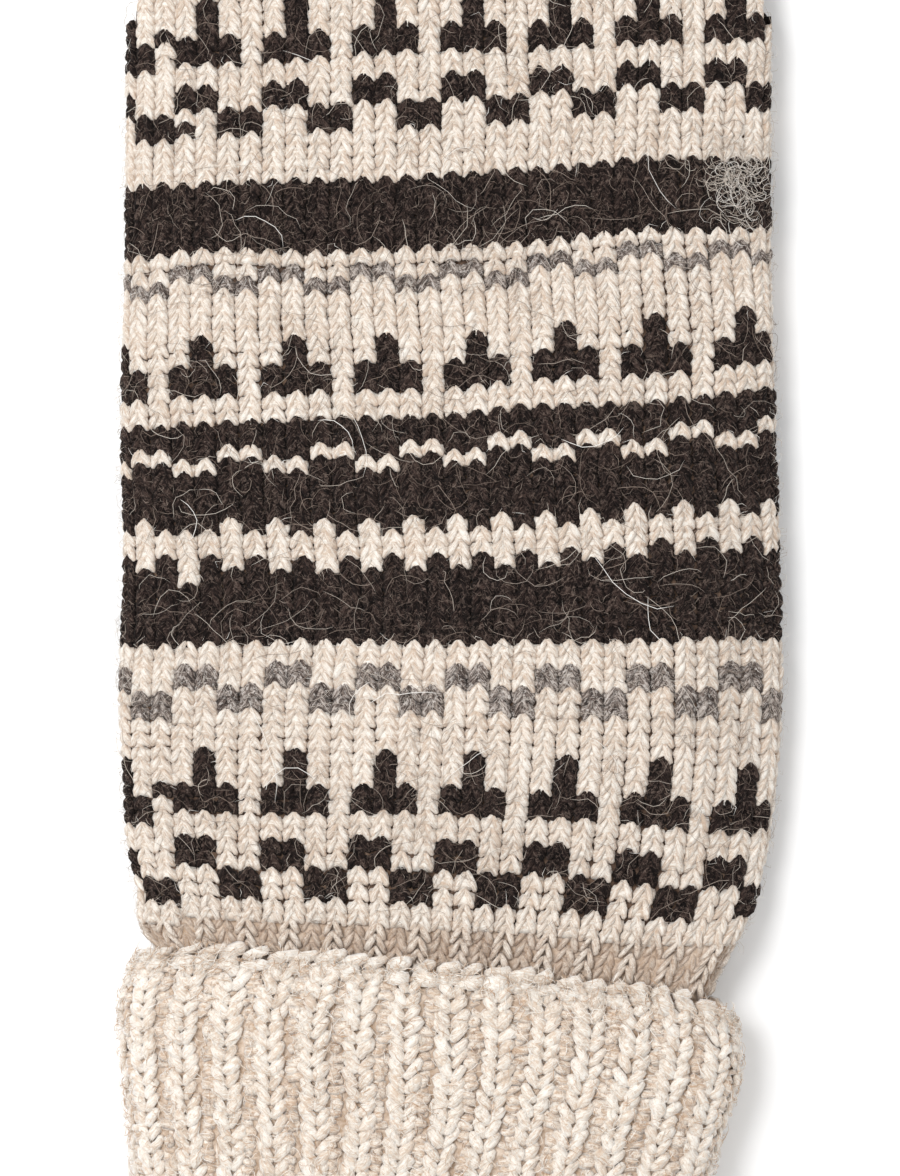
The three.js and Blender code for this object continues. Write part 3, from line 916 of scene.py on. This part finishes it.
def wrapGrid(name, across, along, place, thickness, material):
    bpy.ops.object.select_all(action="DESELECT")
    bpy.ops.mesh.primitive_grid_add(x_subdivisions=across, y_subdivisions=along, size=2, location=(0, 0, 0))
    shell = bpy.context.object
    shell.name = name
    flat = np.array([v.co for v in shell.data.vertices])
    share = (flat[:, 0] + 1) / 2
    far = (flat[:, 1] + 1) / 2
    points = (place(share, far) + shift) * mm
    shell.data.vertices.foreach_set("co", points.astype(np.float32).ravel())
    bpy.ops.object.mode_set(mode="EDIT")
    bpy.ops.mesh.select_mode(type="VERT")
    bpy.ops.mesh.select_all(action="SELECT")
    bpy.ops.mesh.remove_doubles(threshold=backing["weld"] * mm)
    bpy.ops.mesh.normals_make_consistent(inside=False)
    bpy.ops.object.mode_set(mode="OBJECT")
    wall = shell.modifiers.new("wall", "SOLIDIFY")
    wall.thickness = thickness * mm
    wall.offset = -1
    bpy.ops.object.modifier_apply(modifier="wall")
    shell.data.shade_smooth()
    shell.data.materials.append(material)
    return shell


backing = {
    "inset": 1.5, "cuffInset": 1.15, "wristInset": 2.0, "thickness": 1.0, "cuffThickness": 0.5, "weld": 0.02,
    "handStart": -0.3, "handCrowd": 1.25,  # its rows crowd together towards the closed end
    "thumbStart": 0.4, "thumbCrowd": 1.3,
    "leavesOuter": (8, 20),  # where the cuff's inner layer takes its own width, from the fold
}


def handBackingPlace(share, far):
    start = mitten["ribLength"] + backing["handStart"]
    s = mix(start, fingerTip - backing["inset"], 1 - (1 - far) ** backing["handCrowd"])
    return drawnInSkin(share * handRound["round"], s, backing["inset"])


handShell = wrapGrid("hand_backing", 72, 56, handBackingPlace, backing["thickness"], handBacking)
print("hand backing", len(handShell.data.polygons))


# The cuff: a knit column on each rib and a purl one in each valley, up outside from the fold

cuffKnit = {
    "ribs": 30, "rowHeight": 2.29, "purlsInRow": 1.7, "insideDepth": 17.0, "underEdge": 2.4,
    "wander": 0.35, "wanderAlong": 0.6,
}
cuffLeg = {
    "foot": 0.02, "reach": 2.3, "start": -0.7, "rise": 3.5, "bow": 1.1, "taper": 0, "lump": 0.15,
    "width": 2.2, "thick": 1.35, "height": -0.55, "sink": 0.35, "peak": 0.95,
    "leftReach": 1.05, "leftWidth": 1.1, "jitter": 1.6, "twist": 1.2,
    "shadeFrom": -0.2, "shadeOver": 2.0,
}
purlBump = {
    **plainForm, "foot": -1.5, "reach": 3.0, "start": -0.4, "rise": 0.8, "lump": 0.225,
    "width": 1.9, "thick": 1.2, "height": -0.8, "sink": 0.35, "jitter": 2.6,
    "shadeFrom": -0.5, "shadeOver": 1.9,
}
wristKnit = {"rows": 4, "rowHeight": 2.1, "highColumns": -0.75, "lowColumns": -1.35, "jitter": 1.3}


def ribGrid(rowsFrom, rowsTo, rowHeight, offset, seed):
    rows = np.arange(rowsFrom, rowsTo, rowHeight)
    pitch = cuffRound["round"] / cuffKnit["ribs"]
    s, rib = [grid.ravel() for grid in np.meshgrid(rows, np.arange(cuffKnit["ribs"]), indexing="ij")]
    arc = (rib + offset) * pitch
    wander = waves(seed, cuffKnit["wander"])
    return arc + wander(s, arc * 0.5), s + wander(arc, s) * cuffKnit["wanderAlong"]


def layCuff():
    top = mitten["turnUp"] + cuffKnit["underEdge"]
    inside = -cuffKnit["insideDepth"]
    arc, d = ribGrid(inside, top, cuffKnit["rowHeight"], 0.0, 21)
    knit = layPairs("cuff_rib_knit", fullStrand, cuffFace, arc, d, 1, cuffLeg, "cuffYarn")
    arc, d = ribGrid(inside, top, cuffKnit["rowHeight"] / cuffKnit["purlsInRow"], 0.5, 22)
    sides = dice.choice([-1.0, 1.0], len(arc))
    # purl bumps in a darker copy of the cuff yarn: painted shade of the valleys
    purl = layStrands("cuff_rib_purl", plainStrand, cuffFace, arc, d, sides, 1, purlBump, "purlYarnWithPaintedShade")
    return [knit, purl]


# Between the hand and the turned-up layer its columns go on, every second one lower, as a rib
def layWrist():
    stitches = handStitches()
    first = stitches["row"] == 0
    rows = np.arange(1, wristKnit["rows"] + 1)
    arc = np.tile(stitches["arc"][first] * cuffRound["round"] / handRound["round"], len(rows))
    s = (stitches["s"][first] - wristKnit["rowHeight"] * rows[:, None]).ravel()
    low = np.tile(stitches["column"][first] % 2 == 1, 2 * len(rows))
    height = np.where(low, wristKnit["lowColumns"], wristKnit["highColumns"])[:, None]
    form = {**handLeg, "height": height, "jitter": wristKnit["jitter"]}
    # its darker yarn is painted shade for the recess under the turned-up cuff
    return layPairs("wrist_rib_knit", fullStrand, wristSkin, arc, s, -1, form, "wristYarnWithPaintedShade")


cuffPieces = layCuff() + [layWrist()]
print("cuff", [(p.name, len(p.data.polygons)) for p in cuffPieces])


def cuffBackingPlace(share, far):
    arc = share * cuffRound["round"]
    radius = mitten["wall"] + mitten["gap"] / 2
    inset = backing["cuffInset"]
    small = radius - inset
    inner = mitten["ribLength"] - radius
    outer = mitten["turnUp"] - radius
    bend = small * np.pi
    walk = far * (inner + bend + outer)
    turn = np.clip((walk - inner) / bend, 0, 1) * np.pi
    s = radius - small * np.sin(turn) + np.maximum(inner - walk, 0) + np.maximum(walk - inner - bend, 0)
    depthIn = radius + small * np.cos(turn)
    insideHere = cuffSkin(arc, s, np.minimum(depthIn, 2 * radius) + 0 * arc, "turned")
    along = smooth(s, *backing["leavesOuter"]) * (turn <= 0)
    free = cuffSkin(arc, s, backing["wristInset"], "inner")
    return mix(insideHere, free, along[..., None])


cuffShell = wrapGrid("cuff_backing", 72, 44, cuffBackingPlace, backing["cuffThickness"], cuffBacking)
print("cuff backing", len(cuffShell.data.polygons))


# The cast-off edge: a row of plump loops, and a chain leaning over them

edgeKnit = {"loops": 54, "lower": 1.0, "upper": 2.9, "wander": 0.3}
edgeLoop = {
    **plainForm, "foot": -2.35, "reach": 4.7, "start": -0.4, "rise": 0.6, "lump": 0.175,
    "width": 3.1, "thick": 2.7, "height": -0.85, "sink": 0.6, "jitter": 2.4, "twist": 1.5,
    "shadeFrom": -0.5, "shadeOver": 2.2,
}
edgeChain = {
    **edgeLoop, "foot": -2.2, "reach": 4.4, "start": -1.0, "rise": 1.7,
    "width": 2.5, "thick": 2.2, "height": -1.2,
}


def edgeFace(arc, s):
    return cuffSkin(arc, s, 0.0, "turned")


def layEdge():
    loops = edgeKnit["loops"]
    arc = np.arange(loops) * cuffRound["round"] / loops
    wander = waves(31, edgeKnit["wander"])
    rows = (("edge_loops", edgeKnit["lower"], edgeLoop), ("edge_chain", edgeKnit["upper"], edgeChain))
    made = []
    for name, at, form in rows:
        s = mitten["turnUp"] + mitten["gap"] + at + wander(arc, arc)
        made.append(layStrands(name, fullStrand, edgeFace, arc, s, np.ones(loops), 1, form, "edgeYarn"))
    return made


edgePieces = layEdge()
print("edge")


# The thumb, plain, folded flat under the palm

thumbKnit = {
    "rowHeight": 2.06, "stitch": 3.71, "start": 1.5, "end": 0.5,
    "shownUpTo": 0.8,  # its top is against the palm
    "least": 0.35,  # of the width, where the columns stop at its tip
}


def layThumb():
    columns = round(thumbRound["round"] / thumbKnit["stitch"])
    pitch = thumbRound["round"] / columns
    rows = np.arange(slitAt + thumbKnit["start"], thumbEnd - thumbKnit["end"], thumbKnit["rowHeight"])
    s, column = [grid.ravel() for grid in np.meshgrid(rows, np.arange(columns), indexing="ij")]
    arc = column * pitch
    share, y = readOutline(thumbRound, arc)
    narrow = tipShares(s, thumb["tipLength"], thumbEnd - thumb["tipLength"], 0)[0]
    use = (y < thumbKnit["shownUpTo"]) & (narrow > thumbKnit["least"])
    return layPairs("thumb_knit", plainStrand, thumbSkin, arc[use], s[use], -1, handLeg, "creamYarn")


def thumbBackingPlace(share, far):
    start = slitAt + backing["thumbStart"]
    s = mix(start, thumbEnd - backing["inset"], 1 - (1 - far) ** backing["thumbCrowd"])
    return thumbSkin(share * thumbRound["round"], s, backing["inset"])


thumbPiece = layThumb()
thumbShell = wrapGrid("thumb_backing", 48, 30, thumbBackingPlace, backing["thickness"], handBacking)
print("thumb")


# Loose hairs: a thin strand, modelled once and bent along a curling path over the knitting

def makeHairStrand(sides, spans):
    bpy.ops.object.select_all(action="DESELECT")
    bpy.ops.mesh.primitive_cylinder_add(vertices=sides, radius=1, depth=2, location=(0, 0, 0))
    strand = bpy.context.object
    bpy.ops.object.mode_set(mode="EDIT")
    for cut in range(1, spans):
        bpy.ops.mesh.select_all(action="SELECT")
        bpy.ops.mesh.bisect(plane_co=(0, 0, 2 * cut / spans - 1), plane_no=(0, 0, 1))
    bpy.ops.object.mode_set(mode="OBJECT")
    return {**readStrand(strand), "spans": spans}


hairShape = {
    "upright": (0.21, 0.13, 1.0),  # no hair runs quite this way
    "end": 0.4,  # how thin its ends are
    "archPower": 0.6,
}
longHair = makeHairStrand(3, 6)
shortHair = makeHairStrand(3, 3)
tinyHair = makeHairStrand(3, 2)


def makeHairMaterial(name, stops):
    material, tree, shader = startMaterial(name, 0.7, 0.2)
    colour = addRamp(tree, addYarnLook(tree)[1], stops)
    tree.links.new(colour, shader.inputs["Base Color"])
    return material


hairMaterial = makeHairMaterial("loose hair", (
    (0.0, wool(72, 56, 48)), (0.35, wool(150, 134, 122)),
    (0.7, wool(212, 202, 190)), (1.0, wool(246, 243, 238)),
))
fluffMaterial = makeHairMaterial("ivory fluff", (
    (0.0, wool(118, 84, 60)), (0.3, wool(192, 158, 128)),
    (0.65, wool(226, 212, 196)), (1.0, wool(247, 243, 237)),
))


# Most values are (least, most), or one for each hair. "tone" runs from 0, dark, to 1, white.
def layHairs(name, strand, skin, arc, s, form, material=hairMaterial):
    count = len(arc)
    spans = strand["spans"]

    def pick(key):
        value = form[key]
        if isinstance(value, np.ndarray):
            return value[:, None]
        return dice.uniform(value[0], value[1], (count, 1))

    step = pick("length") / spans
    turn = pick("curl") * dice.choice([-1, 1], (count, 1))
    walk = np.arange(spans + 1) / spans
    bend = pick("heading") + turn * walk + dice.normal(0, form["wobble"], (count, spans + 1))
    across = np.concatenate((np.zeros((count, 1)), np.cumsum(np.cos(bend[:, :-1]) * step, 1)), 1)
    along = np.concatenate((np.zeros((count, 1)), np.cumsum(np.sin(bend[:, :-1]) * step, 1)), 1)
    rise = pick("lift") - form["root"]
    high = form["root"] + rise * np.sin(np.pi * walk * pick("arch")) ** hairShape["archPower"]
    line = liftOff(skin, arc[:, None] - across, s[:, None] + along, high)
    run = np.gradient(line, axis=1)
    run /= np.maximum(np.linalg.norm(run, axis=2, keepdims=True), 1e-9)
    side = np.cross(run, hairShape["upright"])
    side /= np.maximum(np.linalg.norm(side, axis=2, keepdims=True), 1e-9)
    up = np.cross(run, side)
    points = strand["points"]
    ring = np.rint((points[:, 2] + 1) / 2 * spans).astype(int)
    taper = np.where((ring == 0) | (ring == spans), hairShape["end"], 1.0)
    radius = pick("thick") / 2 * taper
    places = line[:, ring] + radius[..., None] * (
        side[:, ring] * points[:, 0][None, :, None] + up[:, ring] * points[:, 1][None, :, None])
    tone = np.broadcast_to(np.clip(pick("tone"), 0, 1), places.shape[:2])
    look = np.stack((0 * tone, tone, 0 * tone), axis=-1)
    return joinCopies(name, strand, places, np.zeros(count, bool), 0 * places, look, material)


fuzz = {  # short fibres standing out of each stitch of the hand, in tones for its colour
    "count": 4800, "length": (1.0, 3.0), "curl": (0.2, 2.4), "lift": (0.05, 0.5), "thick": (0.05, 0.085),
    "arch": (0.6, 1.0), "root": -0.5, "heading": (0, 6.3), "wobble": 0.3,
    "aside": (-1.9, 1.9), "along": (-2.1, 0.2),  # from the stitch's own place
    "tones": {"c": (0.45, 1.0), "d": (0.05, 0.42), "g": (0.25, 0.8)},
}
handHair = {
    "count": 1100, "length": (3.5, 12.0), "curl": (0.3, 3.4), "lift": (0.1, 0.6), "thick": (0.05, 0.085),
    "arch": (0.8, 1.0), "root": -0.4, "heading": (0, 6.3), "wobble": 0.22, "tone": (0.15, 0.75),
    "past": -2.0, "before": 1.0, "beyond": 8.0,  # where they lie: past the sides, and along
}
sideHair = {
    **fuzz, "count": 650, "length": (1.0, 3.2), "curl": (0.2, 2.0), "lift": (0.3, 1.2),
    "thick": (0.04, 0.075), "arch": (0.5, 0.8), "tone": (0.4, 1.0), "past": 3.0,
}
cuffFuzz = {
    **fuzz, "count": 4800, "length": (1.0, 3.5), "lift": (0.1, 0.9), "thick": (0.07, 0.13),
    "tone": (0.25, 1.0), "past": 4.0, "before": 3.0, "beyond": 1.0,
}
cuffFlecks = {
    **fuzz, "count": 450, "length": (0.5, 1.6), "lift": (-0.5, 0.0), "thick": (0.08, 0.13),
    "root": -0.9, "tone": (0.05, 0.4), "before": 3.0, "spread": 0.7,
}
wristFuzz = {
    **fuzz, "count": 700, "length": (0.9, 3.0), "lift": (-0.5, 0.3), "root": -0.9,
    "tone": (0.2, 0.75), "past": 2.0, "before": -3.0, "beyond": 2.0,
}
edgeFuzz = {**cuffFuzz, "count": 1300, "length": (0.9, 3.0), "past": 2.0}
pill = {  # a tangle of loose fibre near the finger end
    **handHair, "count": 170, "x": 48.0, "y": 62.0, "spread": (2.6, 3.6), "length": (3.0, 8.0),
    "curl": (1.5, 5.0), "tone": (0.45, 0.95), "lift": (0.2, 0.9),
}
longWhites = {
    **handHair, "tone": (0.9, 1.0), "lift": (0.4, 0.8), "thick": (0.09, 0.12), "wobble": 0.12,
    "hairs": (  # start across and along, heading in degrees, length and curl
        (-33, -23, -55, 19, 0.9), (-31, -40, 75, 13, 2.6), (-14, -24, 30, 13, 0.7), (-12, -20, 200, 9, 1.6),
        (23, 1, -62, 17, 1.2), (32, -6, -100, 11, 1.4), (-18, 25, -35, 13, 1.5), (-22, 23, 10, 9, 1.9),
        (-1, 62, 110, 10, 2.4), (18, 20, -20, 12, 1.3), (-36, 56, 15, 11, 1.8), (38, 58, 140, 12, 1.1),
        (-44, 3, 40, 9, 2.2), (8, -30, -160, 12, 0.8), (27, -36, 85, 10, 1.7), (-28, 84, -10, 14, 1.2),
    ),
}


# Where a place in the picture, in millimetres, lies on the back of the hand
def onHand(x, y):
    s = y - shift[1]
    s = s + (s - centreLine(s)[2])
    share = (x - shift[0] - centreLine(s)[1]) / (mitten["handWidth"] / 2)
    return arcAtTop(handRound, np.clip(share, -0.99, 0.99)), s


# Places scattered over the upper side of a tube, and some way past its sides
def scatter(outline, form, low, high):
    arc = dice.uniform(-form["past"], outline["round"] / 2 + form["past"], form["count"])
    return arc, dice.uniform(low, high, form["count"])


def layHandHairs():
    stitches = handStitches()
    half = handRound["round"] / 2
    top = np.flatnonzero(stitches["arc"] % (2 * half) < half)
    chosen = dice.choice(top, fuzz["count"])
    least = np.array([fuzz["tones"][letter][0] for letter in stitches["letter"][chosen]])
    most = np.array([fuzz["tones"][letter][1] for letter in stitches["letter"][chosen]])
    tone = dice.uniform(least, most)
    arc = stitches["arc"][chosen] + dice.uniform(*fuzz["aside"], len(chosen))
    s = stitches["s"][chosen] + dice.uniform(*fuzz["along"], len(chosen))
    made = [layHairs("hand_fuzz", tinyHair, handSkin, arc, s, {**fuzz, "tone": tone})]
    start, end = mitten["ribLength"] - handHair["before"], roundFrom + handHair["beyond"]
    arc, s = scatter(handRound, handHair, start, end)
    made.append(layHairs("hand_hairs", longHair, handSkin, arc, s, handHair))
    count = sideHair["count"]
    arc = dice.choice([0.0, half], count) + dice.uniform(-sideHair["past"], sideHair["past"], count)
    s = dice.uniform(mitten["ribLength"], roundFrom, count)
    made.append(layHairs("side_hairs", tinyHair, handSkin, arc, s, sideHair))
    count = pill["count"]
    arc, s = onHand(pill["x"] + dice.normal(0, pill["spread"][0], count),
                    pill["y"] + dice.normal(0, pill["spread"][1], count))
    made.append(layHairs("pill", longHair, handSkin, arc, s, pill))
    x, y, heading, length, curl = np.array(longWhites["hairs"], float).T
    arc, s = onHand(x, y)
    form = {**longWhites, "heading": np.radians(heading), "length": length, "curl": curl}
    made.append(layHairs("white_hairs", longHair, handSkin, arc, s, form))
    return made


def layCuffHairs():
    arc, d = scatter(cuffRound, cuffFuzz, -cuffFuzz["before"], mitten["turnUp"] + cuffFuzz["beyond"])
    made = [layHairs("cuff_fuzz", shortHair, cuffFace, arc, d, cuffFuzz, fluffMaterial)]
    # darker flecks down in the valleys
    count = cuffFlecks["count"]
    pitch = cuffRound["round"] / cuffKnit["ribs"]
    valley = (dice.integers(0, cuffKnit["ribs"] / 2, count) + 0.5) * pitch
    arc = valley + dice.normal(0, cuffFlecks["spread"], count)
    d = dice.uniform(-cuffFlecks["before"], mitten["turnUp"], count)
    made.append(layHairs("cuff_flecks", shortHair, cuffFace, arc, d, cuffFlecks, fluffMaterial))
    start, end = mitten["turnUp"] - wristFuzz["before"], handKnit["rowsFrom"] + wristFuzz["beyond"]
    arc, s = scatter(cuffRound, wristFuzz, start, end)
    made.append(layHairs("wrist_fuzz", tinyHair, wristSkin, arc, s, wristFuzz))
    return made


def layEdgeHairs():
    start = mitten["turnUp"]
    arc, s = scatter(cuffRound, edgeFuzz, start, start + mitten["edgeHeight"])
    return [layHairs("edge_fuzz", shortHair, edgeFace, arc, s, edgeFuzz, fluffMaterial)]


handHairs = layHandHairs()
cuffHairs = layCuffHairs()
edgeHairs = layEdgeHairs()
print("hairs")


# What each piece stands for

def join(pieces, node):
    for piece in pieces:
        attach(piece, "root")
        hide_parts(node)


join(handPieces + handHairs + [handShell], "hand")
join(cuffPieces + cuffHairs + [cuffShell], "cuff")
join(edgePieces + edgeHairs, "cuff_edge")
join([thumbPiece, thumbShell], "thumb")

triangles = {}
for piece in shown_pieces():
    if piece.type == "MESH":
        triangles[piece.name] = sum(len(face.vertices) - 2 for face in piece.data.polygons)
print("triangles", sum(triangles.values()), triangles)
